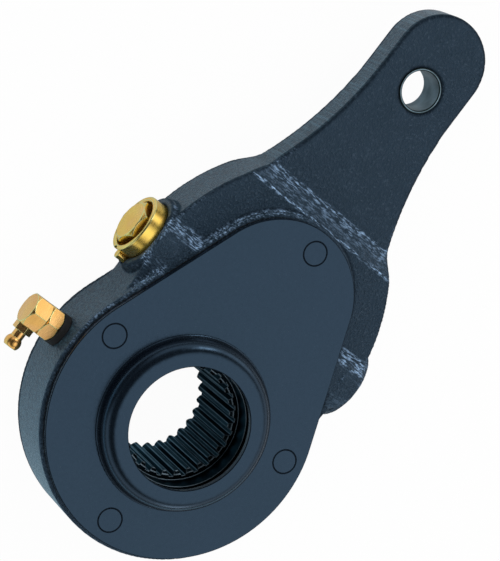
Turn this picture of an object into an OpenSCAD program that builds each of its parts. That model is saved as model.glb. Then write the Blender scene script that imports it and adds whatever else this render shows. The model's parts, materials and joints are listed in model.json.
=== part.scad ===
// Manual brake slack adjuster: lever arm, worm gear and adjusting worm.
// The gear turns about Z at the origin, the arm runs along +X, the adjusting shaft along Y.

/* [Arm] */
// Distance from the spline axis to the clevis pin
arm_len = 127; // [120:0.5:152]
// Thickness of the arm
arm_t = 12; // [10:0.5:14]
// Width of the arm at the clevis pin
arm_w = 31.6; // [28:0.2:36]
// Distance from the clevis pin to the end of the arm
arm_tip = 26; // [20:0.5:30]
// Radius of the flare from the arm into the body
flare_r = 115; // [100:1:140]
// Width of the flare where it meets the body
flare_w = 60; // [56:1:64]
// Length of the ramp from the body down to the arm
ramp_len = 7; // [5:0.5:10]
// Diameter of the clevis pin bore
pin_d = 12.7; // [10:0.1:16]
// Wall of the clevis pin bush
bush_wall = 0.9; // [0.8:0.1:2]

/* [Worm gear] */
// Number of gear teeth
gear_teeth = 22; // [20:1:24]
// Module of the gear teeth
tooth_module = 2.75; // [2.5:0.05:3]
// Face width of the gear
gear_w = 19.8; // [16:0.2:21]
// Pressure angle of the teeth
pressure_angle = 20; // [18:1:24]
// Number of spline teeth
spline_teeth = 28; // [24:1:32]
// Diameter over the roots of the spline
spline_root_d = 37.2; // [34:0.1:39]
// Height of the spline teeth
spline_tooth_h = 1.5; // [1.2:0.1:2.4]
// Width of a spline tooth at its tip
spline_tip_w = 1.4; // [1:0.1:1.8]
// Width of a spline tooth at its foot
spline_foot_w = 3; // [2.6:0.1:3.2]
// Chamfer of the spline's ends
spline_chamfer = 1; // [0.5:0.1:1.2]
// Diameter of the gear's hub
hub_d = 48; // [46:0.2:50]
// Depth of the plain counterbore in front of the spline
counterbore_depth = 6.6; // [4:0.2:8]
// Height of the hub above the front cover's plate
hub_rise = 2; // [1:0.1:2.4]

/* [Worm] */
// Pitch diameter of the worm
worm_pitch_d = 19.4; // [18:0.2:21]
// Length of the worm
worm_len = 36; // [32:0.5:38]
// Diameter of the shaft inside the worm
shaft_d = 9.6; // [8:0.1:10]
// Diameter of the cross pin
cross_pin_d = 3; // [2:0.1:4]
// Length of each worm bush
worm_bush_len = 7; // [5:0.5:9]
// Outer diameter of the worm bushes and the plug
worm_bush_d = 18; // [16.4:0.1:18.6]
// Thickness of the shaft seal
shaft_seal_t = 1.8; // [1.2:0.1:2.4]
// Wall of the cup plug
plug_t = 1.5; // [1:0.1:2]
// Depth of the cup plug
plug_h = 4; // [3:0.1:6]
// Distance of the cup plug below the boss
plug_in = 2; // [1:0.1:3]

/* [Lock sleeve] */
// Outer diameter of the lock sleeve
sleeve_d = 19.6; // [19.2:0.1:20.4]
// Diameter of the sleeve's open mouth
sleeve_mouth_d = 16.2; // [15.6:0.1:17]
// Depth of the sleeve's open mouth
sleeve_mouth_depth = 5; // [3:0.5:7]
// Length of the sleeve inside the boss
sleeve_held = 6.4; // [5:0.1:8]
// Height of the sleeve above the boss
sleeve_out = 4.6; // [4:0.1:7]
// Travel of the sleeve when it is pushed in
sleeve_travel = 4.5; // [3:0.5:5]
// Width across the flats of the adjusting hex
hex_af = 12.7; // [11:0.1:12.8]
// Height of the hex above the sleeve's rim
hex_proud = 1.6; // [0.5:0.1:3]
// Chamfer of the hex head's corners
hex_chamfer = 1.1; // [0.6:0.1:1.6]
// Chamfer of the sleeve's rim
sleeve_chamfer = 0.4; // [0.2:0.1:0.6]
// Wire diameter of the lock spring
spring_wire_d = 1; // [0.8:0.1:1.2]
// Turns of the lock spring
spring_turns = 3; // [2:0.5:4]
// Diameter of the sleeve's guide pin
guide_pin_d = 2.8; // [2:0.1:3]
// Height of the guide pin above the boss
guide_pin_out = 3; // [2:0.1:4]
// Depth of the guide pin's groove in the sleeve
guide_pin_bite = 0.7; // [0.4:0.1:0.9]
// Wall of the round boss beyond the sleeve
boss_wall = 2.8; // [2.5:0.1:4]
// Length of the round boss
boss_len = 7; // [5:0.5:8]
// Height of the round boss beyond the casting's side
boss_proud = 0.4; // [0.2:0.1:1]

/* [Body] */
// Height of the casting between its two cover seats
seat_h = 24.4; // [23:0.2:27]
// Height of the casting's shoulders beside the covers
shoulder_h = 19; // [16:0.5:22]
// Width of the cover seat outside the gear
seat_w = 11.5; // [10:0.1:13]
// Width of the casting outside the cover's edge
ledge = 1.2; // [0.8:0.1:3]
// Wall of the cover seat beyond the ends of the worm
nose_wall = 8; // [6:0.5:10]
// Length of the cover seat beyond the worm
nose_out = 21; // [18:0.5:26]
// Radius of the body's shoulders
shoulder_r = 66; // [60:1:80]
// Width of the worm boss's flat top
ridge_top_w = 8.4; // [6:0.2:10]
// Width of the worm boss's flanks, each
ridge_flank_w = 5; // [4:0.2:7]
// Depth of the hollow between the drum and the worm boss
valley_depth = 2.6; // [1:0.2:4]

/* [Covers] */
// Thickness of the cover plate
cover_t = 2; // [1.6:0.1:3]
// Thickness of the cover gasket
gasket_t = 0.4; // [0.3:0.1:0.8]
// Height of the collar above the cover plate
collar_rise = 6.2; // [4.8:0.1:7]
// Radius of the collar's wall
collar_r = 27.8; // [26.8:0.1:28.4]
// Radius of the front collar's rounded shoulder
collar_round = 4.5; // [3:0.1:4.8]
// Radius of the rear collar's rounded shoulder
rear_round = 1.4; // [0.8:0.1:1.6]
// Radius of the hollow at the foot of the collar
collar_foot = 0.9; // [0.7:0.1:1.4]
// Thickness of the collar's lip over the hub, and of the rear hub seal
lip_t = 2; // [1.4:0.1:2.4]
// Width of the front hub seal
front_seal_w = 3.3; // [2:0.1:3.6]
// Width of the rear hub seal
rear_seal_w = 1.5; // [1:0.1:1.8]
// Diameter of the hole in the front collar's lip
lip_hole_d = 39.6; // [39:0.1:42]
// Diameter of the rivets
rivet_d = 6; // [5:0.1:6.6]
// Diameter of the flush rivet heads
rivet_head_d = 7.8; // [7:0.1:9]
// Distance of the rivets from the cover's edge
rivet_inset = 6.9; // [6:0.1:7.6]
// Angle from the arm to the side rivets
rivet_angle = 76; // [70:1:90]
// Offset of the nose's rivet from the line of the arm
nose_rivet_y = -0.8; // [-2:0.1:2]

/* [Grease fitting] */
// Width across the flats of the elbow
elbow_af = 10; // [9:0.1:12]
// Height of the elbow's foot
elbow_foot_h = 4.8; // [3.5:0.1:6]
// Height of the elbow's head
elbow_head_h = 6; // [5.5:0.1:8]
// Depth of the groove between foot and head
elbow_groove = 0.9; // [0.5:0.1:1.4]
// Chamfer of the elbow's corners
elbow_chamfer = 0.9; // [0.5:0.1:1.2]
// Diameter of the elbow's stem
stem_d = 8; // [6.5:0.1:8.6]
// Length of the elbow's stem in the casting
stem_in = 7.6; // [5:0.1:9]
// Diameter of the oil way in the elbow
oil_way_d = 2.6; // [2:0.1:3.4]
// Thickness of the sealing washer under the elbow
washer_t = 2.6; // [1.5:0.1:3]
// Diameter of the sealing washer
washer_d = 10.6; // [9.6:0.1:12]
// Length of the nipple outside the elbow
nipple_len = 8; // [7:0.1:10]
// Diameter of the nipple's ball head
nipple_head_d = 5.4; // [5:0.1:6]
// Diameter of the nipple's neck
nipple_neck_d = 3.9; // [3.6:0.1:4.4]
// Diameter of the flat face on the nipple's head
nipple_face_d = 4.2; // [3.4:0.1:4.6]
// Width across the flats of the nipple's flange
nipple_flange_af = 5.6; // [5:0.1:6]
// Height of the nipple's flange
nipple_flange_h = 2.2; // [1.5:0.1:2.8]
// Length of the nipple's shank in the elbow
shank_in = 3; // [2:0.1:3.4]
// Diameter of the nipple's mouth
nipple_mouth_d = 1.8; // [1.4:0.1:1.9]
// Thickness of the lip round the nipple's mouth
nipple_lip = 0.5; // [0.3:0.1:0.7]
// Diameter of the check ball
ball_d = 2.4; // [2:0.1:2.6]
// Travel of the check ball
ball_travel = 1; // [0.5:0.1:1.5]
// Wire diameter of the nipple's spring
nipple_wire_d = 0.4; // [0.3:0.05:0.5]
// Turns of the nipple's spring
nipple_turns = 5; // [3:1:6]

/* [Clearances] */
// Radial clearance of turning fits
run_clr = 0.06; // [0.03:0.01:0.09]
// Radial clearance of the sliding sleeve
slide_clr = 0.04; // [0.02:0.01:0.05]
// Radial clearance of pressed and riveted pieces
press_clr = 0.02; // [0.01:0.01:0.04]
// Clearance round the corners of the adjusting hex
hex_clr = 0.2; // [0.15:0.05:0.3]
// Free space round moving pieces
free_clr = 0.6; // [0.4:0.1:1]
// End clearance of the gear and worm
end_clr = 0.15; // [0.1:0.01:0.3]
// Backlash between worm and gear
backlash = 0.6; // [0.5:0.05:0.8]

/* [Hidden] */
$fn = 96;
paint = [0.17, 0.21, 0.26];
plating = [0.85, 0.68, 0.25];
steel = [0.45, 0.47, 0.5];
bronze = [0.62, 0.45, 0.22];
dark_rubber = [0.08, 0.08, 0.09];
// Overlap of joined and cut shapes
eps = 0.01;
// Length that reaches past the whole part
far = 400;

// Gear and worm: share of a full tooth's height, and gap between tips and roots
stub = 0.69;
root_gap = 0.4;
addendum = stub * tooth_module;
dedendum = addendum + root_gap;
gear_r = gear_teeth * tooth_module / 2;
gear_tip_r = gear_r + addendum;
gear_root_r = gear_r - dedendum;
worm_r = worm_pitch_d / 2;
worm_tip_r = worm_r + addendum;
worm_root_r = worm_r - dedendum;
worm_x = gear_r + worm_r;
axial_pitch = PI * tooth_module;
lead_angle = atan(axial_pitch / (PI * worm_pitch_d));
tooth_w = axial_pitch / 2 - backlash / 2;
spline_r = spline_root_d / 2;
spline_tip_r = spline_r - spline_tooth_h;

// Levels along the gear's axis
seat_z = seat_h / 2;
cover_in_z = seat_z + gasket_t;
cover_z = cover_in_z + cover_t;
collar_z = cover_z + collar_rise;
lip_z = collar_z - lip_t;
hub_front_z = cover_z + hub_rise;
hub_rear_z = collar_z - 2 * end_clr;
thrust_washer_t = cover_in_z - gear_w / 2 - end_clr;
hub_r = hub_d / 2;
hub_bore_r = hub_r + run_clr;

// Body outline
cavity_r = gear_tip_r + free_clr;
cover_r = cavity_r + seat_w;
drum_r = cover_r + ledge;
chamber_y = worm_len / 2 + free_clr + end_clr;
chamber_x = worm_x + worm_tip_r + free_clr;
nose_r = chamber_y + nose_wall;
nose_tip_x = chamber_x + nose_out;
nose_x = nose_tip_x - nose_r;
pad_x = nose_tip_x + ledge;
rivet_r = cover_r - rivet_inset;
rivet_places = concat([[nose_tip_x - rivet_inset, nose_rivet_y]],
    [for (a = [-rivet_angle, rivet_angle, 180]) [rivet_r * cos(a), rivet_r * sin(a)]]);

// Levels along the worm's axis
bush_end_y = chamber_y + worm_bush_len;
spring_seat_y = bush_end_y + shaft_seal_t;
spring_len = sleeve_travel + spring_wire_d * (spring_turns + 1) + free_clr;
sleeve_in_y = spring_seat_y + spring_len;
boss_y = sleeve_in_y + sleeve_held;
sleeve_rim_y = boss_y + sleeve_out;
hex_y = sleeve_rim_y + hex_proud;
body_half_w = boss_y - boss_proud;
sleeve_r = sleeve_d / 2;
boss_r = sleeve_r + boss_wall;
hex_corner_r = hex_af / 2 / cos(30);
sleeve_bore_r = hex_corner_r + hex_clr;
worm_bush_r = worm_bush_d / 2;
journal_r = hex_af / 2;
spring_r = sleeve_r - spring_wire_d / 2 - run_clr;
guide_pin_x = worm_x - sleeve_r - guide_pin_d / 2 + guide_pin_bite;
plug_y = boss_y - plug_in;

// Levels along the grease fitting's axis
washer_y = sqrt(pow(drum_r, 2) - pow(washer_d / 2, 2));
foot_y = washer_y + washer_t;
head_y = foot_y + elbow_foot_h;
elbow_top_y = head_y + elbow_head_h;
nipple_y = head_y + elbow_head_h / 2;
elbow_corner_r = elbow_af / 2 / cos(30);
ball_r = ball_d / 2;
ball_bore_r = ball_r + run_clr;
mouth_r = nipple_mouth_d / 2;
neck_r = nipple_neck_d / 2;
nipple_base_x = -elbow_af / 2;
nipple_end_x = nipple_base_x - nipple_len;
ball_x = nipple_end_x + nipple_lip + sqrt(pow(ball_r, 2) - pow(mouth_r, 2)) + run_clr;
nipple_spring_x = ball_x + ball_r;
nipple_spring_len = ball_travel + nipple_wire_d * (nipple_turns + 1);

// Lays a shape that was built along Z along Y, on the worm's axis
module on_worm_axis(y) {
    translate([worm_x, y, 0]) rotate([-90, 0, 0]) children();
}

// Lays a shape that was built along Z along Y, on the grease fitting's axis
module on_grease_axis(y) {
    translate([0, y, 0]) rotate([-90, 0, 0]) children();
}

// Lays a shape that was built along Z along -X, through the nipple
module on_nipple_axis(x) {
    translate([x, nipple_y, 0]) rotate([0, -90, 0]) children();
}

// Plain ring from z = 0 upwards
module ring(inner_r, outer_r, h) {
    difference() {
        cylinder(r = outer_r, h = h);
        translate([0, 0, -eps]) cylinder(r = inner_r, h = h + 2 * eps);
    }
}

// Plate of the cover's outline: the drum's circle, the nose's circle and their common tangents
module cover_plate(h, grow = 0) {
    tilt = acos((cover_r - nose_r) / nose_x);
    inset = grow - eps;
    drum_end = [(cover_r + inset) * cos(tilt), (cover_r + inset) * sin(tilt)];
    nose_end = [nose_x + (nose_r + inset) * cos(tilt), (nose_r + inset) * sin(tilt)];
    cylinder(r = cover_r + grow, h = h);
    translate([nose_x, 0, 0]) cylinder(r = nose_r + grow, h = h);
    linear_extrude(h)
        polygon([drum_end, nose_end, [nose_end[0], -nose_end[1]], [drum_end[0], -drum_end[1]]]);
}

// Space for the gear and the worm, open to both covers
module chamber_outline() {
    circle(r = cavity_r);
    translate([0, -chamber_y]) square([chamber_x, 2 * chamber_y]);
}

// Rivet places of both covers
module at_rivets() {
    for (p = rivet_places) translate([p[0], p[1], 0]) children();
}

// Rivet with flush heads, grown by a margin where it is used as a hole
module rivet_shape(grow) {
    head_h = (rivet_head_d - rivet_d) / 2;
    cylinder(r = rivet_d / 2 + grow, h = 2 * cover_z, center = true);
    for (side = [0, 1]) mirror([0, 0, side]) translate([0, 0, cover_z - head_h])
        cylinder(r1 = rivet_d / 2 + grow, r2 = rivet_head_d / 2 + grow, h = head_h);
}

// Hex prism about Z, turned down at its ends by the two chamfers
module chamfered_hex(af, h, low_chamfer, high_chamfer) {
    corner = af / 2 / cos(30) + eps;
    intersection() {
        cylinder(r = af / 2 / cos(30), h = h, $fn = 6);
        rotate_extrude() polygon([[0, 0], [corner - low_chamfer, 0], [corner, low_chamfer],
            [corner, h - high_chamfer], [corner - high_chamfer, h], [0, h]]);
    }
}

// Triangles of a closed sweep: each ring has as many points as the section has sides
function swept_faces(rings, sides) = concat(
    [for (i = [0 : rings - 1], k = [0 : sides - 1], half = [0, 1])
        let (n = (k + 1) % sides, a = i * sides + k, b = i * sides + n)
        half == 0 ? [a, b, b + sides] : [a, b + sides, a + sides]],
    [[for (k = [sides - 1 : -1 : 0]) k], [for (k = [0 : sides - 1]) rings * sides + k]]);

// Wire wound about Z from z = 0 to h
module coil(coil_r, wire_r, h, turns, sides, steps) {
    rings = turns * steps;
    rise = h - 2 * wire_r;
    points = [for (i = [0 : rings], k = [0 : sides - 1])
        let (a = 360 * i / steps, b = 360 * k / sides, r = coil_r + wire_r * cos(b))
        [r * cos(a), r * sin(a), wire_r + rise * i / rings + wire_r * sin(b)]];
    polyhedron(points, swept_faces(rings, sides), convexity = 10);
}

// Arm outline with its round end and the flare into the body
module arm_outline() {
    half = arm_w / 2;
    end_x = arm_len + arm_tip - half;
    translate([end_x, 0]) circle(r = half);
    translate([arm_len - eps, -half]) square([end_x - arm_len + eps, arm_w]);
    difference() {
        translate([worm_x, -flare_w / 2]) square([arm_len - worm_x, flare_w]);
        for (side = [-1, 1]) translate([arm_len, side * (half + flare_r)]) circle(r = flare_r);
    }
}

// Outline of the shoulders: two large arcs that meet in the arm, hollowed beside the drum
module shoulder_outline() {
    ridge_x = worm_x - ridge_top_w / 2 - ridge_flank_w;
    valley_r = ridge_x - ridge_top_w / 2;
    valley_y = body_half_w - valley_depth + valley_r;
    difference() {
        intersection_for (side = [-1, 1])
            translate([worm_x - ridge_top_w / 2, side * (shoulder_r - body_half_w)]) circle(r = shoulder_r);
        for (side = [-1, 1]) translate([ridge_x - ridge_flank_w, side * valley_y]) circle(r = valley_r);
    }
}

// Ramp between the shoulders and the arm, seen from the side
module ramp_profile() {
    polygon([[0, -shoulder_h / 2], [pad_x, -shoulder_h / 2], [pad_x + ramp_len, -arm_t / 2],
        [pad_x + ramp_len, arm_t / 2], [pad_x, shoulder_h / 2], [0, shoulder_h / 2]]);
}

// Cross section of the worm boss, seen along the worm
module ridge_profile() {
    half = ridge_top_w / 2;
    foot = half + ridge_flank_w;
    polygon([[-foot, shoulder_h / 2], [-half, seat_z], [half, seat_z], [foot, shoulder_h / 2],
        [foot, -shoulder_h / 2], [half, -seat_z], [-half, -seat_z], [-foot, -shoulder_h / 2]]);
}

// Casting without its bores
module casting() {
    translate([0, 0, -seat_z]) cover_plate(seat_h, ledge);
    linear_extrude(arm_t, center = true) arm_outline();
    intersection() {
        linear_extrude(shoulder_h, center = true) union() {
            shoulder_outline();
            arm_outline();
        }
        rotate([90, 0, 0]) linear_extrude(far, center = true) ramp_profile();
    }
    intersection() {
        linear_extrude(seat_h, center = true) shoulder_outline();
        translate([worm_x, 0, 0]) rotate([90, 0, 0]) linear_extrude(far, center = true) ridge_profile();
    }
    on_worm_axis(boss_y - boss_len) cylinder(r = boss_r, h = boss_len);
    on_worm_axis(-boss_y) cylinder(r = boss_r, h = boss_len);
}

// Black casting with the drum, the worm boss and the arm
module housing() {
    color(paint) difference() {
        casting();
        linear_extrude(far, center = true) chamber_outline();
        at_rivets() cylinder(r = rivet_d / 2 + press_clr, h = far, center = true);
        on_worm_axis(-far / 2) cylinder(r = worm_bush_r + press_clr, h = far / 2 + spring_seat_y + eps);
        on_worm_axis(spring_seat_y) cylinder(r = sleeve_r + slide_clr, h = far);
        translate([guide_pin_x, sleeve_in_y, 0]) rotate([-90, 0, 0])
            cylinder(r = guide_pin_d / 2 + press_clr, h = far);
        on_grease_axis(0) cylinder(r = stem_d / 2 + press_clr, h = far);
        on_grease_axis(washer_y) cylinder(r = washer_d / 2 + press_clr, h = far);
        translate([arm_len, 0, 0]) cylinder(r = pin_d / 2 + bush_wall + press_clr, h = far, center = true);
    }
}

// Bush for the clevis pin
module arm_bush() {
    color(steel) translate([arm_len, 0, -arm_t / 2]) ring(pin_d / 2, pin_d / 2 + bush_wall, arm_t);
}

// Half section of a cover's collar, from the plate's inner face to the top
module collar_profile(hole_r, round_r) {
    top = collar_z - cover_in_z;
    difference() {
        translate([hole_r, 0]) square([collar_r - hole_r, top]);
        translate([collar_r - round_r, top - round_r]) square(round_r + eps);
    }
    intersection() {
        translate([collar_r - round_r, top - round_r]) circle(r = round_r);
        translate([hole_r, eps]) square(far);
    }
    difference() {
        translate([collar_r - eps, cover_t - eps]) square(collar_foot + eps);
        translate([collar_r + collar_foot, cover_t + collar_foot]) circle(r = collar_foot);
    }
}

// Cover with its raised collar, plate and rivet holes, with its inner face at z = cover_in_z
module cover_shape(hole_r, round_r) {
    difference() {
        union() {
            translate([0, 0, cover_in_z]) cover_plate(cover_t);
            translate([0, 0, cover_in_z]) rotate_extrude() collar_profile(hole_r, round_r);
        }
        translate([0, 0, cover_in_z - eps]) cylinder(r = hole_r, h = far);
        at_rivets() rivet_shape(press_clr);
    }
}

// Pressed front cover: its collar has a lip over the hub
module front_cover() {
    color(paint) difference() {
        cover_shape(lip_hole_d / 2, collar_round);
        translate([0, 0, cover_in_z - eps]) cylinder(r = hub_bore_r, h = lip_z - cover_in_z + eps);
    }
}

// Pressed rear cover: the hub comes through its collar
module rear_cover() {
    color(paint) mirror([0, 0, 1]) difference() {
        cover_shape(hub_bore_r, rear_round);
        translate([0, 0, cover_z]) cylinder(r = hub_bore_r + rear_seal_w, h = lip_t);
    }
}

// Sealing sheet between a cover and its seat, from z = 0 upwards
module gasket_shape() {
    difference() {
        cover_plate(gasket_t);
        linear_extrude(far, center = true) chamber_outline();
        at_rivets() cylinder(r = rivet_d / 2 + press_clr, h = far, center = true);
    }
}

module front_gasket() {
    color(dark_rubber) translate([0, 0, seat_z]) gasket_shape();
}

module rear_gasket() {
    color(dark_rubber) translate([0, 0, -cover_in_z]) gasket_shape();
}

// Four through rivets
module cover_rivets() {
    color(paint) at_rivets() rivet_shape(0);
}

// Involute of a base circle, in polar form: radius r gives the angle turned from its start
function involute_angle(base_r, r) =
    let (t = sqrt(pow(max(r, base_r) / base_r, 2) - 1)) t * 180 / PI - atan(t);

// One gear tooth along +X, with involute flanks
module tooth_outline() {
    base_r = gear_r * cos(pressure_angle);
    half_angle = tooth_w / gear_r / 2 * 180 / PI + involute_angle(base_r, gear_r);
    steps = 4;
    inner_x = gear_root_r - free_clr;
    radii = [for (i = [0 : steps]) gear_root_r + (gear_tip_r - gear_root_r + free_clr / 2) * i / steps];
    upper = [for (r = radii) let (a = half_angle - involute_angle(base_r, r)) [r * cos(a), r * sin(a)]];
    lower = [for (i = [steps : -1 : 0]) [upper[i][0], -upper[i][1]]];
    polygon(concat([[inner_x, upper[0][1]]], upper, lower, [[inner_x, -upper[0][1]]]));
}

// Toothed rim: straight teeth laid at the worm's lead angle and turned to size
module gear_rim() {
    intersection() {
        union() {
            cylinder(r = gear_root_r, h = gear_w, center = true);
            for (i = [0 : gear_teeth - 1]) rotate(360 * i / gear_teeth) rotate([-lead_angle, 0, 0])
                linear_extrude(gear_w + 2 * addendum, center = true) tooth_outline();
        }
        cylinder(r = gear_tip_r, h = gear_w, center = true);
    }
}

// Straight-sided spline bore
module spline_outline() {
    tip_a = asin(spline_tip_w / 2 / spline_tip_r);
    foot_a = asin(spline_foot_w / 2 / spline_r);
    corners = [[-foot_a, spline_r], [-tip_a, spline_tip_r], [tip_a, spline_tip_r], [foot_a, spline_r]];
    polygon([for (i = [0 : spline_teeth - 1], c = corners)
        let (a = c[0] + 360 * i / spline_teeth) [c[1] * cos(a), c[1] * sin(a)]]);
}

// Cone that chamfers one end of the spline, with its wide end at z = 0 and the spline above it
module spline_end() {
    translate([0, 0, -eps])
        cylinder(r1 = spline_tip_r + spline_chamfer + eps, r2 = spline_tip_r, h = spline_chamfer + eps);
}

// Worm gear with its hub and spline
module worm_gear() {
    spline_z = hub_front_z - counterbore_depth;
    color(steel) difference() {
        union() {
            gear_rim();
            translate([0, 0, -hub_rear_z]) cylinder(r = hub_r, h = hub_rear_z + hub_front_z);
        }
        translate([0, 0, -far / 2]) linear_extrude(far) spline_outline();
        translate([0, 0, spline_z]) cylinder(r = lip_hole_d / 2, h = far);
        translate([0, 0, -hub_rear_z]) spline_end();
        translate([0, 0, spline_z]) mirror([0, 0, 1]) spline_end();
    }
}

// Washer between a gear face and its cover
module thrust_washer_shape() {
    ring(hub_r + free_clr / 2, cavity_r - 2 * free_clr, thrust_washer_t);
}

module front_thrust_washer() {
    color(bronze) translate([0, 0, cover_in_z - thrust_washer_t]) thrust_washer_shape();
}

module rear_thrust_washer() {
    color(bronze) translate([0, 0, -cover_in_z]) thrust_washer_shape();
}

// Face seal between the hub's front end and the collar's lip
module front_hub_seal() {
    seal_t = lip_z - hub_front_z - end_clr;
    color(dark_rubber) translate([0, 0, lip_z - seal_t])
        ring(hub_r - front_seal_w, hub_r, seal_t);
}

// Ring seal in the groove of the rear collar
module rear_hub_seal() {
    color(dark_rubber) translate([0, 0, -cover_z - lip_t])
        ring(hub_bore_r, hub_bore_r + rear_seal_w - press_clr, lip_t);
}

// Worm thread: a straight-sided section carried along the helix, with a groove where a gear tooth lies
module worm_thread() {
    steps = 30;
    turns = (worm_len - 2 * tooth_w) / axial_pitch;
    rings = round(turns * steps);
    inner_r = worm_root_r - root_gap;
    slope = tan(pressure_angle);
    section = [[inner_r, -1], [worm_tip_r, -1], [worm_tip_r, 1], [inner_r, 1]];
    points = [for (i = [0 : rings], p = section)
        let (a = 360 * (i - rings / 2) / steps, r = p[0], half = tooth_w / 2 - (r - worm_r) * slope)
        [r * cos(a), axial_pitch * a / 360 + p[1] * half, -r * sin(a)]];
    polyhedron(points, swept_faces(rings, len(section)), convexity = 10);
}

// Hole or solid of the cross pin
module cross_pin_shape(r, h) {
    translate([worm_x, 0, 0]) cylinder(r = r, h = h, center = true);
}

// Single-start worm
module worm() {
    color(steel) difference() {
        union() {
            on_worm_axis(-worm_len / 2) cylinder(r = worm_root_r, h = worm_len);
            translate([worm_x, 0, 0]) worm_thread();
        }
        on_worm_axis(-worm_len) cylinder(r = shaft_d / 2 + press_clr, h = 2 * worm_len);
        cross_pin_shape(cross_pin_d / 2 + press_clr, far);
    }
}

// Adjusting shaft: journal, shoulder and hex head
module worm_shaft() {
    shoulder_y = worm_len / 2 + end_clr;
    hex_start_y = spring_seat_y - shaft_seal_t / 2;
    color(plating) difference() {
        union() {
            on_worm_axis(-bush_end_y) cylinder(r = shaft_d / 2, h = bush_end_y + shoulder_y + eps);
            on_worm_axis(shoulder_y) cylinder(r = journal_r, h = hex_start_y - shoulder_y + eps);
            on_worm_axis(hex_start_y) chamfered_hex(hex_af, hex_y - hex_start_y, 0, hex_chamfer);
        }
        cross_pin_shape(cross_pin_d / 2 + press_clr, far);
    }
}

// Cross pin through worm and shaft
module worm_drive_pin() {
    color(steel) cross_pin_shape(cross_pin_d / 2, 2 * worm_root_r - root_gap);
}

// Bearing of the shaft on the hex side
module outer_worm_bush() {
    color(bronze) on_worm_axis(chamber_y) ring(journal_r + run_clr, worm_bush_r, worm_bush_len);
}

// Bearing of the shaft on the plug side
module inner_worm_bush() {
    color(bronze) on_worm_axis(-bush_end_y) ring(shaft_d / 2 + run_clr, worm_bush_r, worm_bush_len);
}

// Seal on the shaft's journal, outside the outer bush
module worm_shaft_seal() {
    color(dark_rubber) on_worm_axis(bush_end_y)
        ring(hex_corner_r + run_clr, worm_bush_r, shaft_seal_t);
}

// Cup plug in the far end of the worm bore, open outwards
module worm_plug() {
    color(paint) on_worm_axis(-plug_y) difference() {
        cylinder(r = worm_bush_r, h = plug_h);
        translate([0, 0, -eps]) cylinder(r = worm_bush_r - plug_t, h = plug_h - plug_t + eps);
    }
}

// Locking collar round the hex head, grooved for its guide pin
module lock_sleeve() {
    rim = sleeve_rim_y - sleeve_in_y;
    step = rim - sleeve_mouth_depth;
    chamfer = sleeve_chamfer;
    open_r = sleeve_mouth_d / 2;
    color(plating) difference() {
        on_worm_axis(sleeve_in_y) rotate_extrude() polygon([[sleeve_bore_r, 0], [sleeve_r, 0],
            [sleeve_r, rim - chamfer], [sleeve_r - chamfer, rim], [open_r + chamfer, rim],
            [open_r, rim - chamfer], [open_r, step], [sleeve_bore_r, step]]);
        translate([guide_pin_x, 0, 0]) rotate([-90, 0, 0])
            cylinder(r = guide_pin_d / 2 + free_clr / 2, h = far);
    }
}

// Spring under the lock sleeve
module lock_spring() {
    color(steel) on_worm_axis(spring_seat_y)
        coil(spring_r, spring_wire_d / 2, spring_len, spring_turns, sides = 8, steps = 20);
}

// Pin beside the sleeve that keeps it from turning
module sleeve_guide_pin() {
    color(plating) translate([guide_pin_x, sleeve_in_y, 0]) rotate([-90, 0, 0])
        cylinder(r = guide_pin_d / 2, h = boss_y + guide_pin_out - sleeve_in_y);
}

// Sealing washer under the elbow
module elbow_washer() {
    color(dark_rubber) on_grease_axis(washer_y) ring(stem_d / 2 + press_clr, washer_d / 2, washer_t);
}

// Right-angle body of the grease fitting
module grease_elbow() {
    way_r = oil_way_d / 2;
    way_start_y = washer_y - stem_in - eps;
    groove_r = elbow_corner_r - elbow_groove;
    outer_r = elbow_corner_r + eps;
    half_groove = elbow_groove / 2 + eps;
    color(plating) difference() {
        union() {
            on_grease_axis(washer_y - stem_in) cylinder(r = stem_d / 2, h = stem_in + washer_t + eps);
            on_grease_axis(foot_y) difference() {
                rotate(30) chamfered_hex(elbow_af, elbow_top_y - foot_y, elbow_chamfer, elbow_chamfer);
                rotate_extrude() polygon([[groove_r, elbow_foot_h],
                    [outer_r, elbow_foot_h - half_groove], [outer_r, elbow_foot_h + half_groove]]);
            }
        }
        on_grease_axis(way_start_y) cylinder(r = way_r, h = nipple_y + way_r - way_start_y);
        on_nipple_axis(0) cylinder(r = mouth_r, h = far);
        on_nipple_axis(nipple_base_x + shank_in) cylinder(r = neck_r + press_clr, h = far);
    }
}

// Ball-headed grease nipple on the elbow's side
module grease_nipple() {
    head_r = nipple_head_d / 2;
    head_h = nipple_len - sqrt(pow(head_r, 2) - pow(nipple_face_d / 2, 2));
    rest_h = nipple_base_x - nipple_spring_x - nipple_spring_len;
    color(plating) on_nipple_axis(nipple_base_x) difference() {
        union() {
            cylinder(r = nipple_flange_af / 2 / cos(30), h = nipple_flange_h, $fn = 6);
            translate([0, 0, -shank_in]) cylinder(r = neck_r, h = shank_in + head_h);
            intersection() {
                translate([0, 0, head_h]) sphere(r = head_r);
                cylinder(r = head_r, h = nipple_len);
            }
        }
        translate([0, 0, rest_h]) cylinder(r = ball_bore_r, h = nipple_len - nipple_lip - rest_h);
        translate([0, 0, -far / 2]) cylinder(r = mouth_r, h = far);
    }
}

// Check ball behind the nipple's mouth
module nipple_ball() {
    color(steel) translate([ball_x, nipple_y, 0]) sphere(r = ball_r);
}

// Spring behind the check ball
module nipple_spring() {
    wire_r = nipple_wire_d / 2;
    color(steel) translate([nipple_spring_x, nipple_y, 0]) rotate([0, 90, 0])
        coil(ball_r - wire_r, wire_r, nipple_spring_len, nipple_turns, sides = 6, steps = 12);
}

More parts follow.
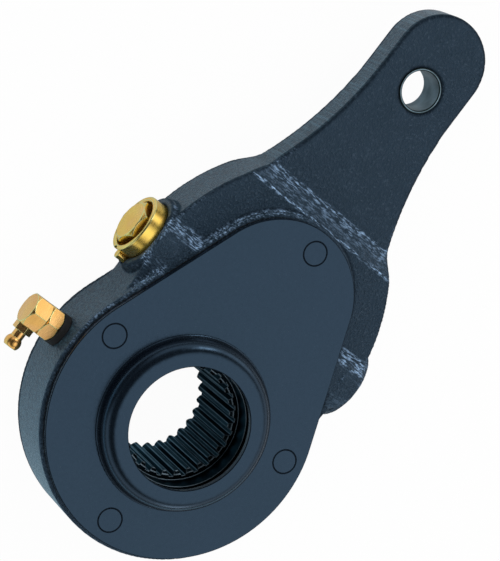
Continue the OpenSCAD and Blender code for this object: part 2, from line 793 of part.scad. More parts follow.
housing();
arm_bush();
front_cover();
rear_cover();
front_gasket();
rear_gasket();
cover_rivets();
worm_gear();
front_thrust_washer();
rear_thrust_washer();
front_hub_seal();
rear_hub_seal();
worm();
worm_shaft();
worm_drive_pin();
outer_worm_bush();
inner_worm_bush();
worm_shaft_seal();
worm_plug();
lock_sleeve();
lock_spring();
sleeve_guide_pin();
elbow_washer();
grease_elbow();
grease_nipple();
nipple_ball();
nipple_spring();
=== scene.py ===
# %% [markdown]
# A brake slack adjuster is the lever between a truck's brake chamber and its camshaft. Its solids come ready
# made and measured, in metres, so this lesson never moves or resizes them. It gives them what a measured solid
# lacks: the soft edges and sand of a casting, paint, plating, steel, light and a camera.

# %% Load the measured solids
import json
import math
import bmesh
import bpy
import numpy as np
from mathutils import Matrix, Vector
from mathutils.bvhtree import BVHTree


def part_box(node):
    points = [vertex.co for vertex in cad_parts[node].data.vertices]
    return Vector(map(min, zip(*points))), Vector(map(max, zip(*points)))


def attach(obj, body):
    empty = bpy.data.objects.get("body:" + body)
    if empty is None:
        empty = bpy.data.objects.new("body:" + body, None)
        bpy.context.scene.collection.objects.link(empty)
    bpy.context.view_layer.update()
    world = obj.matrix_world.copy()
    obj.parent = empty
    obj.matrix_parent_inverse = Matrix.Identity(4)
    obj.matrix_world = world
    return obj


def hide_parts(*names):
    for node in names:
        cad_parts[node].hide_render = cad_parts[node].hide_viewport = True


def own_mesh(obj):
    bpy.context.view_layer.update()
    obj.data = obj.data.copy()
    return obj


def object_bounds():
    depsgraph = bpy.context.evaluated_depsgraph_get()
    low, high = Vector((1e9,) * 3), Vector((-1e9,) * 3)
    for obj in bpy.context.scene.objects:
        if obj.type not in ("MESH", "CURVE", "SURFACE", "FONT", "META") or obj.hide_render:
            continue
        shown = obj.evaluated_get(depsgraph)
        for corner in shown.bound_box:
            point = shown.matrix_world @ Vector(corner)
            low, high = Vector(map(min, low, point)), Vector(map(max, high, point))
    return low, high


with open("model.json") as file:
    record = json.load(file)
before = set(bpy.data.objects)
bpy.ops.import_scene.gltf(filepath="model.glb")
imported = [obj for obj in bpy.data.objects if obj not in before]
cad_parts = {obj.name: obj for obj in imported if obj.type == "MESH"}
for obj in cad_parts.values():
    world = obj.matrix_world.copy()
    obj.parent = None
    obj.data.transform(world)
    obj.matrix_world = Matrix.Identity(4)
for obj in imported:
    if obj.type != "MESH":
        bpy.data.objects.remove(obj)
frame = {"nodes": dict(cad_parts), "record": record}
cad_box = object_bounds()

MM = 0.001
solids = frame["nodes"]
print("solids:", len(solids), "box in mm:", [round(c / MM, 1) for corner in cad_box for c in corner])

# %% [markdown]
# The camera stands where the photographer stood: nearly above the cover, with the arm pointing to the upper
# right. Three facts fix it: where it stands, what it aims at, and which way the picture's right edge points. A
# camera could be turned by hand with angles, but two directions and a cross product are easier to check.

# %% Camera
camera_place = Vector((30.1, 350.2, 727.4)) * MM
camera_aim = Vector((47.7, 4.6, 0.2)) * MM
picture_right = Vector((0.605, -0.7134, 0.3537))
picture_long_side = 561
focal_pixels = 2575.5
nearest_seen = 0.01

camera = bpy.data.objects.new("camera", bpy.data.cameras.new("camera"))
bpy.context.scene.collection.objects.link(camera)
bpy.context.scene.camera = camera
camera.data.lens = camera.data.sensor_width * focal_pixels / picture_long_side
camera.data.clip_start = nearest_seen
backward = (camera_place - camera_aim).normalized()
upward = backward.cross(picture_right).normalized()
rightward = upward.cross(backward)
turn = Matrix((rightward, upward, backward)).transposed().to_4x4()
camera.matrix_world = Matrix.Translation(camera_place) @ turn
print("camera lens in mm:", round(camera.data.lens, 1))

# %% [markdown]
# A node material is a small graph. The first helper adds one node, sets its properties, and fills its inputs: a
# plain value is written on the socket, and another node's output is linked to it. The others are the few sums that
# every finish needs. Nodes could also be wired one by one, but with helpers each finish is a few readable lines.

# %% Helpers for node graphs
mix_share, mix_low, mix_high, mix_result = 0, 6, 7, 2


def add(tree, kind, inputs=None, **settings):
    node = tree.nodes.new(kind)
    for name, value in settings.items():
        setattr(node, name, value)
    for name, value in (inputs or {}).items():
        if isinstance(value, bpy.types.NodeSocket):
            tree.links.new(value, node.inputs[name])
        else:
            node.inputs[name].default_value = value
    return node


def mixed(tree, share, low, high):
    inputs = {mix_share: share, mix_low: low, mix_high: high}
    return add(tree, "ShaderNodeMix", inputs, data_type="RGBA").outputs[mix_result]


def remapped(tree, value, span, onto=(0, 1)):
    inputs = {"Value": value, "From Min": span[0], "From Max": span[1], "To Min": onto[0], "To Max": onto[1]}
    return add(tree, "ShaderNodeMapRange", inputs).outputs["Result"]


def times(tree, first, second):
    return add(tree, "ShaderNodeMath", {0: first, 1: second}, operation="MULTIPLY").outputs[0]


def larger(tree, first, second):
    return add(tree, "ShaderNodeMath", {0: first, 1: second}, operation="MAXIMUM").outputs[0]


def rgb(red, green, blue):
    return (red, green, blue, 1.0)


white = rgb(1, 1, 1)
print("graph helpers ready")

# %% [markdown]
# The part lies on its rear collar on a studio floor. A photographer might hang a curved backdrop, but this camera
# looks down and sees nothing else, so one large flat face is enough. It lies a hair below the collar, because two
# faces in the same place would flicker.

# %% Floor
floor_half_width = 4.0
floor_gap_mm = 0.05
floor_z = cad_box[0].z - floor_gap_mm * MM

floor_mesh = bpy.data.meshes.new("floor")
shape = bmesh.new()
bmesh.ops.create_grid(shape, x_segments=1, y_segments=1, size=floor_half_width)
bmesh.ops.translate(shape, verts=shape.verts, vec=(0, 0, floor_z))
shape.to_mesh(floor_mesh)
shape.free()
floor = bpy.data.objects.new("floor", floor_mesh)
bpy.context.scene.collection.objects.link(floor)
print("floor at z in mm:", round(floor_z / MM, 2))

# %% [markdown]
# The photograph's background is pure white. Stronger lamps would whiten the floor, but wash out the part, so the
# floor answers camera rays mostly with plain white, while its own shading still carries a faint shadow. Mirror rays
# get a cooler white, and less of it under the boss and the arm, because a real floor lies in the part's bluish shade.

# %% Floor paper
paper_grey = rgb(0.85, 0.85, 0.85)
white_for_camera = 0.965
mirror_shares = (1.0, 0.12)
shade_span = (-60 * MM, 10 * MM)
shade_tint = rgb(0.62, 0.88, 1.0)

floor_paper = bpy.data.materials.new("floor_paper")
floor_paper.use_nodes = True
tree = floor_paper.node_tree
tree.nodes.clear()
path = add(tree, "ShaderNodeLightPath").outputs
seen = larger(tree, path["Is Camera Ray"], path["Is Transmission Ray"])
seen = remapped(tree, seen, (0, 1), (0, white_for_camera))
floor_spot = add(tree, "ShaderNodeTexCoord").outputs["Object"]
floor_x = add(tree, "ShaderNodeSeparateXYZ", {0: floor_spot}).outputs["X"]
mirrored = times(tree, path["Is Glossy Ray"], remapped(tree, floor_x, shade_span, mirror_shares))
paper = add(tree, "ShaderNodeBsdfDiffuse", {"Color": paper_grey})
tone = mixed(tree, path["Is Glossy Ray"], white, shade_tint)
glow = add(tree, "ShaderNodeEmission", {"Color": tone, "Strength": 1.0})
blend = add(tree, "ShaderNodeMixShader", {0: larger(tree, seen, mirrored), 1: paper.outputs[0], 2: glow.outputs[0]})
add(tree, "ShaderNodeOutputMaterial", {"Surface": blend.outputs[0]})
floor.data.materials.append(floor_paper)
print("floor paper nodes:", len(tree.nodes))

# %% [markdown]
# Black paint shows what it mirrors, so the studio is laid out for the mirrors: a soft window above and beyond the
# part, which the flat faces show, a soft band of light low round the horizon, and darkness between the two and
# behind the photographer. A rounded edge then goes from bright to black to bright, which draws the shapes. Matt
# colours get even light from all round instead, so that they come out as they are written. Real panels and cloths
# could be built for it, but a few nodes on the world are quicker to move.

# %% World
window_way = Vector((-0.02, -0.43, 0.90)).normalized()
window_edge = (math.cos(math.radians(32)), math.cos(math.radians(12)))
band_foot, band_top, band_end = (0.08, 0.3), (0.48, 0.66), (0.66, 0.86)
window_light, band_light, dark_light, even_light = 1.32, 0.9, 0.03, 0.85

world = bpy.data.worlds.new("studio")
bpy.context.scene.world = world
bpy.context.scene.view_settings.view_transform = "Standard"
world.use_nodes = True
tree = world.node_tree
tree.nodes.clear()
ray = add(tree, "ShaderNodeTexCoord").outputs["Generated"]
to_window = add(tree, "ShaderNodeVectorMath", {0: ray, 1: window_way}, operation="DOT_PRODUCT").outputs["Value"]
window = remapped(tree, to_window, window_edge, (dark_light, window_light))
ways = add(tree, "ShaderNodeSeparateXYZ", {0: ray}).outputs
band = remapped(tree, ways["Z"], band_foot, (0, band_light))
band = times(tree, band, remapped(tree, ways["Z"], band_top, (1, 0)))
band = times(tree, band, remapped(tree, ways["Y"], band_end, (1, 0)))
mirrored = add(tree, "ShaderNodeMath", {0: window, 1: band}, operation="ADD").outputs[0]
path = add(tree, "ShaderNodeLightPath").outputs
sky = remapped(tree, path["Is Glossy Ray"], (0, 1), (even_light, mirrored))
sky = larger(tree, sky, path["Is Camera Ray"])
air = add(tree, "ShaderNodeBackground", {"Color": white, "Strength": sky})
add(tree, "ShaderNodeOutputWorld", {"Surface": air.outputs[0]})
print("world nodes:", len(tree.nodes))

# %% [markdown]
# Three small soft boxes add highlights that the world is too even for: two on the collar's shoulder, and one on the
# gold elbow and the slopes. An area lamp is used, because a point lamp would leave a hard dot on the paint.

# %% Soft boxes
box_aim, box_distance = Vector((0.03, 0.0, 0.0)), 0.9
soft_boxes = {
    "collar_box": {"direction": (0.79, 0.02, 0.60), "width": 0.2, "watts": 0.85},
    "elbow_box": {"direction": (0.77, -0.43, 0.47), "width": 0.35, "watts": 0.25},
    "drum_box": {"direction": (-0.62, -0.71, 0.33), "width": 0.2, "watts": 0.3},
}


def soft_box(name, direction, width, watts):
    lamp = bpy.data.lights.new(name, "AREA")
    lamp.energy = watts
    lamp.size = width
    holder = bpy.data.objects.new(name, lamp)
    bpy.context.scene.collection.objects.link(holder)
    away = Vector(direction).normalized()
    holder.location = box_aim + away * box_distance
    holder.rotation_euler = (-away).to_track_quat("-Z", "Y").to_euler()


for name, settings in soft_boxes.items():
    soft_box(name, **settings)
print("soft boxes:", list(soft_boxes))

# %% [markdown]
# Every finish starts the same way: a material with one Principled shader, read in Object coordinates, so a pattern
# stays on its piece wherever the piece moves. Grain is a noise of a given size in millimetres, and a bump turns
# that noise into tiny hills of a given height. Painted images could do the same, but noise needs no file and never
# shows a seam.

# %% Helpers for finishes
finishes = {}


def new_finish(name, metallic, specular, tint=white):
    material = bpy.data.materials.new(name)
    material.use_nodes = True
    tree = material.node_tree
    shader = tree.nodes["Principled BSDF"]
    shader.inputs["Metallic"].default_value = metallic
    shader.inputs["Specular IOR Level"].default_value = specular
    shader.inputs["Specular Tint"].default_value = tint
    place = add(tree, "ShaderNodeTexCoord").outputs["Object"]
    return material, tree, shader, place


def marked(tree, name):
    return add(tree, "ShaderNodeAttribute", attribute_name=name).outputs["Fac"]


def grain(tree, place, size_mm, detail=2.0, roughness=0.5, stretch=(1, 1, 1)):
    scaled = add(tree, "ShaderNodeMapping", {"Vector": place, "Scale": stretch})
    inputs = {"Vector": scaled.outputs[0], "Scale": 1 / (size_mm * MM), "Detail": detail, "Roughness": roughness}
    return add(tree, "ShaderNodeTexNoise", inputs).outputs["Fac"]


def bumped(tree, value, height_mm, strength, under=None):
    inputs = {"Height": value, "Distance": height_mm * MM, "Strength": strength}
    if under is not None:
        inputs["Normal"] = under
    return add(tree, "ShaderNodeBump", inputs).outputs["Normal"]


def connect(tree, shader, **sockets):
    for name, value in sockets.items():
        tree.links.new(value, shader.inputs[name.replace("_", " ")])


def keep_finish(slot, material):
    finishes[slot] = material
    print(slot, "finish:", material.name, "nodes:", len(material.node_tree.nodes))


print("finish helpers ready")

# %% [markdown]
# The casting wears a thin blue-black paint over sand-cast iron. Sand shows most on the slopes of the mould and least
# on the flat faces, and the streaks of light it catches there are painted into the colour as bright glints. The arm's
# side walls keep the marks of a grinder, the upright walls are painted paler as painted light, and the edges darker,
# partly as wear and mostly as painted shade. Each could be a material of its own, but then they would meet in hard
# lines. Attributes on the mesh, made further down, say where the slopes, the walls, the ground walls and the rounded
# edges are, and one paint blends between them.

# %% Paint on the casting
paint_tint = rgb(0.37, 0.65, 1.0)
cast_deep, cast_thin = rgb(0.004, 0.008, 0.012), rgb(0.007, 0.012, 0.018)
wall_painted_light = rgb(0.034, 0.073, 0.096)
grit_grey = rgb(0.05, 0.07, 0.09)
painted_sand_glint = rgb(0.41, 0.62, 0.92)
ground_iron = rgb(0.06, 0.12, 0.155)
cast_edge_shade = rgb(0.002, 0.003, 0.004)


def cast_paint():
    material, tree, shader, place = new_finish("cast_paint", metallic=0.0, specular=1.0, tint=paint_tint)
    sand_and_glints, edge, ground, wall = (marked(tree, name) for name in ("sand_and_glints", "edge", "ground", "wall"))
    clouds = grain(tree, place, size_mm=9, detail=3)
    grit = grain(tree, place, size_mm=0.8, detail=3, roughness=0.65)
    streaks = grain(tree, place, size_mm=0.5, detail=3, roughness=0.65, stretch=(1, 0.22, 1))
    hatch = grain(tree, place, size_mm=0.7, stretch=(1, 1, 0.04))
    patches = grain(tree, place, size_mm=3.5)
    leather = grain(tree, place, size_mm=0.8, detail=4, roughness=0.75, stretch=(1, 1, 0.45))
    colour = mixed(tree, remapped(tree, clouds, (0.35, 0.65)), cast_deep, cast_thin)
    # Painted light: the upright walls are paler, mottled by the leather grain.
    wall_light_share = times(tree, wall, remapped(tree, leather, (0.42, 0.6), (0.05, 1)))
    colour = mixed(tree, wall_light_share, colour, wall_painted_light)
    colour = mixed(tree, remapped(tree, grit, (0.55, 0.72), (0, 0.8)), colour, grit_grey)
    # Painted glints: bright specks on the sand mark stand in for the light the grains catch.
    painted_sparks = times(tree, remapped(tree, streaks, (0.48, 0.6)), remapped(tree, patches, (0.35, 0.6), (0.3, 1)))
    colour = mixed(tree, times(tree, painted_sparks, sand_and_glints), colour, painted_sand_glint)
    scratches = times(tree, remapped(tree, hatch, (0.5, 0.7)), ground)
    colour = mixed(tree, scratches, colour, ground_iron)
    # Painted shade: the edge mark darkens the rounded edges, the rear rim and the wall shoulders.
    shadow = times(tree, edge, remapped(tree, grit, (0.3, 0.6), (1, 0.4)))
    colour = mixed(tree, shadow, colour, cast_edge_shade)
    gloss = larger(tree, remapped(tree, grit, (0.3, 0.7), (0.3, 0.46)), edge)
    normal = bumped(tree, grit, height_mm=0.9, strength=remapped(tree, sand_and_glints, (0, 1), (0.8, 1)))
    normal = bumped(tree, hatch, height_mm=0.08, strength=ground, under=normal)
    connect(tree, shader, Base_Color=colour, Roughness=gloss, Normal=normal)
    return material


keep_finish("cast_black", cast_paint())

# %% [markdown]
# The pressed covers carry the same paint on smooth sheet steel, so they are satin and even, with a faint orange
# peel and slow changes of tone. Their bevelled edges, round the rims and the rivets, are painted near black as
# painted shade for the gaps beside them. The casting's paint without its marks would nearly do, but its grit is far
# too coarse for sheet.

# %% Paint on the covers
cover_deep, cover_thin = rgb(0.002, 0.004, 0.006), rgb(0.003, 0.005, 0.009)
dust_grey = rgb(0.06, 0.07, 0.08)
cover_edge_shade = rgb(0.001, 0.001, 0.002)


def cover_paint():
    material, tree, shader, place = new_finish("cover_paint", metallic=0.0, specular=0.8, tint=paint_tint)
    edge = marked(tree, "edge")
    clouds = grain(tree, place, size_mm=40)
    peel = grain(tree, place, size_mm=1.1)
    dust = grain(tree, place, size_mm=0.35, detail=1)
    colour = mixed(tree, remapped(tree, clouds, (0.3, 0.7)), cover_deep, cover_thin)
    colour = mixed(tree, remapped(tree, dust, (0.72, 0.8), (0, 0.5)), colour, dust_grey)
    # Painted shade: the bevelled edges of the covers and rivets are near black.
    colour = mixed(tree, edge, colour, cover_edge_shade)
    gloss = larger(tree, remapped(tree, peel, (0.3, 0.7), (0.22, 0.28)), edge)
    normal = bumped(tree, peel, height_mm=0.02, strength=0.2)
    connect(tree, shader, Base_Color=colour, Roughness=gloss, Normal=normal)
    return material


keep_finish("cover_black", cover_paint())

# %% [markdown]
# Yellow zinc plating isn't one gold: the chromate film drifts from lemon to orange, blushes pink in patches, and
# turns greenish at edges, where it is thin. A single colour would look like brass, so slow noise mixes the tones,
# and fine stretched noise leaves the marks of the turning tool. The grease fitting was bought in, from a warmer bath.

# %% Yellow plating
blush_pink = rgb(0.93, 0.55, 0.24)
thin_film = rgb(0.72, 0.70, 0.30)


def yellow_plating(name, lemon, orange):
    material, tree, shader, place = new_finish(name, metallic=1.0, specular=0.5)
    drift = grain(tree, place, size_mm=7)
    tool = grain(tree, place, size_mm=0.5, stretch=(0.15, 1, 0.15))
    blush = grain(tree, place, size_mm=8, detail=1)
    colour = mixed(tree, remapped(tree, drift, (0.35, 0.65)), lemon, orange)
    colour = mixed(tree, remapped(tree, blush, (0.48, 0.68), (0, 0.6)), colour, blush_pink)
    colour = mixed(tree, marked(tree, "edge"), colour, thin_film)
    gloss = remapped(tree, tool, (0.3, 0.7), (0.24, 0.32))
    normal = bumped(tree, tool, height_mm=0.01, strength=0.1)
    connect(tree, shader, Base_Color=colour, Roughness=gloss, Normal=normal)
    return material


keep_finish("yellow_plating", yellow_plating("yellow_plating", rgb(0.94, 0.68, 0.14), rgb(0.93, 0.60, 0.12)))
warm_plating = yellow_plating("warm_plating", rgb(0.92, 0.55, 0.16), rgb(0.90, 0.48, 0.14))
warmer = {"grease_elbow": warm_plating, "grease_nipple": warm_plating}
print("warm plating for:", list(warmer))

# %% [markdown]
# The bare metals differ in tone and in the marks of their making. One function makes them all: a tone drifting
# between two colours, an oil film that changes the gloss, fine tool marks along one direction, and edges in a tone
# of their own: rubbed bright on the bronze and the spring, darker on the bush, and lighter on the gear's teeth,
# partly as wear and partly as painted highlight. The gear's black oxide also dulls what it mirrors at a glancing
# angle. Four separate graphs would say the same thing four times.

# %% Bare metals
across_z, across_y, every_way = (1, 1, 0.1), (1, 0.1, 1), (1, 1, 1)
oiled, bright = (0.3, 0.45), (0.25, 0.35)
metals = {
    "bush_steel": {"light": rgb(0.18, 0.26, 0.31), "dark": rgb(0.10, 0.15, 0.18), "edge_tone": rgb(0.02, 0.03, 0.03),
                   "gloss_span": oiled, "mark_mm": 0.5, "stretch": across_z},
    # The gear's lighter edge tone is partly wear and partly a painted highlight on the teeth's edges.
    "gear_steel": {"light": rgb(0.004, 0.008, 0.011), "dark": rgb(0.002, 0.004, 0.006),
                   "edge_tone": rgb(0.14, 0.19, 0.23), "gloss_span": oiled, "mark_mm": 0.4, "stretch": across_z,
                   "glancing": rgb(0.57, 0.71, 0.80)},
    "bearing_bronze": {"light": rgb(0.60, 0.40, 0.18), "dark": rgb(0.48, 0.30, 0.12),
                       "edge_tone": rgb(0.66, 0.46, 0.22), "gloss_span": oiled, "mark_mm": 0.4, "stretch": across_y},
    "spring_steel": {"light": rgb(0.50, 0.51, 0.53), "dark": rgb(0.38, 0.39, 0.41), "edge_tone": rgb(0.55, 0.56, 0.58),
                     "gloss_span": bright, "mark_mm": 0.3, "stretch": every_way},
}


def bare_metal(name, light, dark, edge_tone, gloss_span, mark_mm, stretch, glancing=white):
    material, tree, shader, place = new_finish(name, metallic=1.0, specular=0.5, tint=glancing)
    film = grain(tree, place, size_mm=5, detail=3)
    marks = grain(tree, place, size_mm=mark_mm, roughness=0.6, stretch=stretch)
    colour = mixed(tree, remapped(tree, film, (0.3, 0.7)), light, dark)
    colour = mixed(tree, marked(tree, "edge"), colour, edge_tone)
    gloss = remapped(tree, film, (0.3, 0.7), gloss_span)
    normal = bumped(tree, marks, height_mm=0.02, strength=0.3)
    connect(tree, shader, Base_Color=colour, Roughness=gloss, Normal=normal)
    return material


for slot, look in metals.items():
    keep_finish(slot, bare_metal(slot, **look))

# %% [markdown]
# Seals, gaskets and the elbow's washer are matt black. Plain black would do for pieces that hardly show, but it
# looks like a hole, so a fine bump and specks of chalk are added.

# %% Rubber and fibre
chalk_grey = rgb(0.02, 0.02, 0.022)


def dull_black(name, tone, speck_mm):
    material, tree, shader, place = new_finish(name, metallic=0.0, specular=0.3)
    specks = grain(tree, place, size_mm=speck_mm, detail=3)
    colour = mixed(tree, remapped(tree, specks, (0.45, 0.75)), tone, chalk_grey)
    gloss = remapped(tree, specks, (0.3, 0.7), (0.6, 0.8))
    normal = bumped(tree, specks, height_mm=0.03, strength=0.4)
    connect(tree, shader, Base_Color=colour, Roughness=gloss, Normal=normal)
    return material


keep_finish("seal_rubber", dull_black("seal_rubber", rgb(0.012, 0.012, 0.013), speck_mm=0.6))
keep_finish("gasket_black", dull_black("gasket_fibre", rgb(0.004, 0.004, 0.005), speck_mm=0.3))

# %% [markdown]
# The record names a finish for each node. A list of nodes could be written here by hand, but it would have to be
# kept in step, so this loop reads the record and gives every solid the finish of its slot, also the ones deep
# inside that only show when the part is taken apart.

# %% Give every solid its finish
slot_of = {part["node"]: part["material_slot"] for part in frame["record"]["subparts"]}


def dress(piece, node):
    piece.data.materials.clear()
    piece.data.materials.append(warmer.get(node, finishes[slot_of[node]]))


for node, solid in solids.items():
    dress(solid, node)
print("finishes:", len(finishes), "given to", len(solids), "solids")

# %% [markdown]
# A measured solid arrives as loose triangles, and no edge can be rounded while its two sides aren't joined. So each
# visible piece starts as a merged copy of its solid. The copy then stands in for the solid, which stays hidden for
# the physics.

# %% Helpers for visible copies
merge_mm = 0.001
body_of = {node: body for body, nodes in frame["record"]["behaviour"]["bodies"].items() for node in nodes}


def merged_copy(node):
    shape = bmesh.new()
    shape.from_mesh(solids[node].data)
    bmesh.ops.remove_doubles(shape, verts=shape.verts, dist=merge_mm * MM)
    return shape


def stand_in(shape, node, name):
    mesh = bpy.data.meshes.new(name)
    shape.to_mesh(mesh)
    shape.free()
    piece = bpy.data.objects.new(name, mesh)
    bpy.context.scene.collection.objects.link(piece)
    mesh.polygons.foreach_set("use_smooth", [True] * len(mesh.polygons))
    dress(piece, node)
    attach(piece, body_of[node])
    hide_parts(node)
    return piece


print("copy helpers ready")

# %% [markdown]
# Iron poured in sand has no sharp edge. Bevelling every edge of a casting by hand is slow, and where many edges
# meet it tears. A voxel remesh gives the whole surface even, small faces instead, and smoothing them rounds each
# outer edge and fills each inner corner, as the foundry's pattern does.

# %% The casting
voxel_mm = 0.62
smooth_passes = 8
most_triangles = 190000


def cast_surface(node):
    rough = bpy.data.meshes.new("rough")
    shape = merged_copy(node)
    shape.to_mesh(rough)
    shape.free()
    holder = bpy.data.objects.new("rough", rough)
    bpy.context.scene.collection.objects.link(holder)
    fuse = holder.modifiers.new("fuse", "REMESH")
    fuse.mode = "VOXEL"
    fuse.voxel_size = voxel_mm * MM
    soften = holder.modifiers.new("soften", "SMOOTH")
    soften.iterations = smooth_passes
    thin = holder.modifiers.new("thin", "DECIMATE")
    ready = holder.evaluated_get(bpy.context.evaluated_depsgraph_get())
    thin.ratio = min(1.0, most_triangles / (2 * len(ready.data.polygons)))
    ready = holder.evaluated_get(bpy.context.evaluated_depsgraph_get())
    shape = bmesh.new()
    shape.from_mesh(ready.to_mesh())
    bpy.data.objects.remove(holder)
    return shape


casting = stand_in(cast_surface("housing"), "housing", "casting")
print("casting faces:", len(casting.data.polygons))

# %% [markdown]
# Smoothing also draws in the bores and the machined seats a little. They could be cut again, but that would bring
# back sharp edges. Instead, where the softened skin lies close to the measured solid it goes back onto it, and so do
# the seats under the covers, so only true edges stay rounded. Blurring the shares leaves no seam between the two.

# %% Put flats and bores back on measure
seat_from_mm, seat_share = 11.6, 0.6
flat_mm, round_mm = 0.05, 0.2
blur_passes, blur_share = 4, 0.5


def ramp(value, span):
    low, high = span
    return np.clip((value - low) / (high - low), 0.0, 1.0)


def blurred(piece, shares):
    count = len(shares)
    ends = np.array([edge.vertices for edge in piece.data.edges]).T
    degree = np.bincount(ends.ravel(), minlength=count)
    for _ in range(blur_passes):
        total = np.bincount(ends[0], shares[ends[1]], count) + np.bincount(ends[1], shares[ends[0]], count)
        shares = (1 - blur_share) * shares + blur_share * total / degree
    return shares


def settle(piece, node):
    skin = merged_copy(node)
    tree = BVHTree.FromBMesh(skin)
    skin.free()
    found = [tree.find_nearest(vertex.co) for vertex in piece.data.vertices]
    depths_mm = np.array([abs(near.z) for near, _, _, _ in found]) / MM
    gaps_mm = np.array([gap for _, _, _, gap in found]) / MM
    shares = ramp(gaps_mm, (flat_mm, round_mm)) * np.where(depths_mm > seat_from_mm, seat_share, 1.0)
    shares = blurred(piece, shares)
    for vertex, (near, _, _, _) in zip(piece.data.vertices, found):
        vertex.co = near.lerp(vertex.co, shares[vertex.index])
    piece.data.update()
    return shares


rounded = settle(casting, "housing")
print("share of rounded skin:", round(float(rounded.mean()), 3))

# %% [markdown]
# The paint has to know what it lies on. Such a map could be painted by hand, but the place and the normal of each
# vertex already tell it, so every mark is a short formula on them. The first two are the upright walls, which the
# paint makes a little paler than the faces as painted light, and the walls of the arm, which are ground as well.

# %% Mark the walls
arm_start_mm = (72, 84)
upright_tilt = (0.5, 0.2)


def measured(piece, what):
    values = np.empty(3 * len(piece.data.vertices), np.float32)
    piece.data.vertices.foreach_get(what, values)
    return values.reshape(-1, 3).T.astype(float)


def mark(piece, name, values):
    attribute = piece.data.attributes.new(name, "FLOAT", "POINT")
    attribute.data.foreach_set("value", values.astype(np.float32))
    print(name, "marked, mean share:", round(float(values.mean()), 3))


along, _, height = measured(casting, "co") / MM
facing_x, facing_y, facing_z = measured(casting, "normal")
depth, tilt = np.abs(height), np.abs(facing_z)
on_arm = ramp(along, arm_start_mm)
upright = ramp(tilt, upright_tilt)
mark(casting, "wall", upright)
mark(casting, "ground", upright * on_arm)

# %% [markdown]
# This mark says where the sand's bump and its painted glints go, bright specks that stand in for the light the grains
# catch. They lie on the slopes, most on those that face the arm and low on the arm's ramp; on the crest where that
# ramp begins they make a painted highlight line, and on the small step beside the cover's seat a painted bright band.
# One threshold on the normal would cover every rounded edge with it too, so each place gets its own soft limits.

# %% Mark the sand
arm_face_mm, pad_face_mm = 6.0, 9.5
slope_low, slope_high = (0.2, 0.4), (0.985, 0.94)
sand_end_mm, ramp_from_mm = (91, 87), 60
least_sand_glints, most_sand_glints, thin_sand_glints, crest_highlight = 0.12, 0.8, 0.15, 1.2
arm_side, ramp_depth_mm = (-0.1, 0.1), (9.8, arm_face_mm)
edge_loss = 0.8
crest_mm, crest_width_mm, crest_tilt = 74.4, (0.6, 0.2), (0.4, 0.6)
step_start_mm, step_end_mm = (pad_face_mm, 10.1), (12.1, 11.8)
step_along_mm, step_side = (20, 30), (0.0, 0.3)

slope = ramp(tilt, slope_low) * ramp(tilt, slope_high) * ramp(along, sand_end_mm) * (1 - edge_loss * rounded)
slope *= least_sand_glints + (most_sand_glints - least_sand_glints) * ramp(facing_x, arm_side)
slope *= np.where(along > ramp_from_mm, thin_sand_glints + ramp(depth, ramp_depth_mm) ** 2, 1.0)
crest = ramp(np.abs(along - crest_mm), crest_width_mm) * ramp(tilt, crest_tilt)
step = ramp(depth, step_start_mm) * ramp(depth, step_end_mm) * ramp(along, step_along_mm) * ramp(facing_y, step_side)
mark(casting, "sand_and_glints", np.maximum.reduce([slope, crest_highlight * crest, step]))

# %% [markdown]
# Edges are painted dark: painted shade for the dark part of the studio they mirror, and on the rounded edges also the
# paint drawing back from them. This takes in the rounded edges where no sand lies, the rim round the rear, and a
# shoulder along the top of the walls beside the pad and the arm. A wider rounding would do the same for the shoulder,
# but it would take the arm's faces off their measure.

# %% Mark the dark edges
rim_start_mm, rim_tilt = (9.9, 10.4), (0.95, 0.8)
shoulder_mm, shoulder_along_mm = 1.8, (35, 45)
edge_gain, flat_share = 2.2, 0.06

rear_rim = ramp(-height, rim_start_mm) * ramp(-facing_z, rim_tilt)
face_mm = pad_face_mm + (arm_face_mm - pad_face_mm) * on_arm
shoulder = upright * ramp(depth, (face_mm - shoulder_mm, face_mm - shoulder_mm / 2)) * ramp(along, shoulder_along_mm)
dark = np.maximum.reduce([rounded * (1 - crest) * (1 - step), rear_rim, shoulder])
mark(casting, "edge", np.clip(edge_gain * (dark - flat_share), 0.0, 1.0))

# %% [markdown]
# Machined and pressed pieces keep crisp edges, but even these are broken by a few tenths of a millimetre, and that
# thin line is what catches the light. The triangles of flat faces are joined first, then a bevel on every sharp edge
# of the copy makes the line, and on the rolled covers only on their rims. A bevel modifier could do it too, but the
# operator hands back its new faces. They are marked as edge for the finishes, and weighted normals keep flats flat.

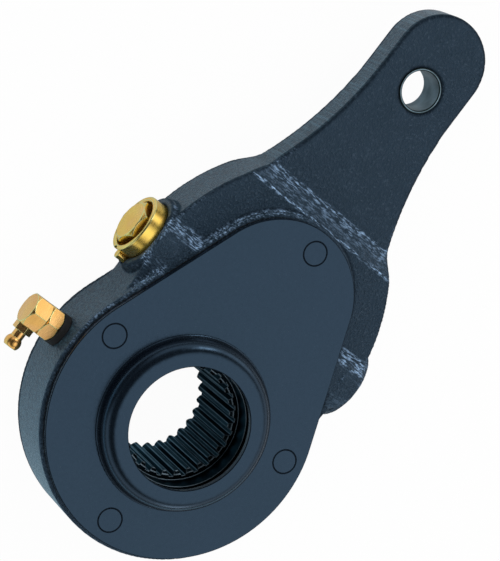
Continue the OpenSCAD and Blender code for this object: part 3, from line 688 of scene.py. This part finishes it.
# %% Pieces with broken edges
join_angle, bevel_angle, crease_angle = math.radians(0.5), math.radians(38), math.radians(50)
flat_normal, upright_normal = 0.99, 0.02
rolled = ("front_cover", "rear_cover")
edge_mm = {
    "front_cover": 0.25,
    "rear_cover": 0.25,
    "cover_rivets": 0.28,
    "worm_gear": 0.2,
    "worm_shaft": 0.2,
    "lock_sleeve": 0.15,
    "sleeve_guide_pin": 0.25,
    "grease_elbow": 0.15,
    "grease_nipple": 0.1,
    "elbow_washer": 0.25,
    "arm_bush": 0.3,
    "worm_plug": 0.25,
}


def is_rim(edge):
    leans = [abs(face.normal.z) for face in edge.link_faces]
    return edge.is_convex and any(lean > flat_normal or lean < upright_normal for lean in leans)


def broken_edges(node, width_mm):
    shape = merged_copy(node)
    edge = shape.faces.layers.float.new("edge")
    bmesh.ops.dissolve_limit(shape, angle_limit=join_angle, verts=shape.verts, edges=shape.edges)
    sharp = [e for e in shape.edges if e.is_manifold and e.calc_face_angle() > bevel_angle]
    if node in rolled:
        sharp = [e for e in sharp if is_rim(e)]
    made = bmesh.ops.bevel(shape, geom=sharp, offset=width_mm * MM, offset_type="OFFSET", affect="EDGES",
                           segments=2, profile=0.5, material=-1, clamp_overlap=False)
    for face in made["faces"]:
        face[edge] = 1.0
    piece = stand_in(shape, node, node + "_finished")
    piece.data.set_sharp_from_angle(angle=crease_angle)
    even = piece.modifiers.new("even", "WEIGHTED_NORMAL")
    even.keep_sharp = True
    return piece


for node, width_mm in edge_mm.items():
    piece = broken_edges(node, width_mm)
    print(piece.name, "faces:", len(piece.data.polygons))

# %% [markdown]
# Two springs push back: one behind the lock sleeve and one behind the check ball. Each rests on a fixed seat and
# shortens as its joint moves. Here each only gets a merged copy of its own that stands in for it, and its free length
# along the joint's axis is printed; the copy is not flattened with the joint's travel.

# %% Spring copies
spring_joints = {"lock_spring": "sleeve_slide", "nipple_spring": "ball_press"}
joints = {joint["name"]: joint for joint in frame["record"]["behaviour"]["joints"]}


def shortening_spring(node, joint):
    low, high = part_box(node)
    way = Vector(joint["axis"])
    length = abs((high - low).dot(way))
    piece = stand_in(merged_copy(node), node, node + "_coil")
    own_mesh(piece)
    return length


for node, joint_name in spring_joints.items():
    print(node, "free length in mm:", round(shortening_spring(node, joints[joint_name]) / MM, 2))
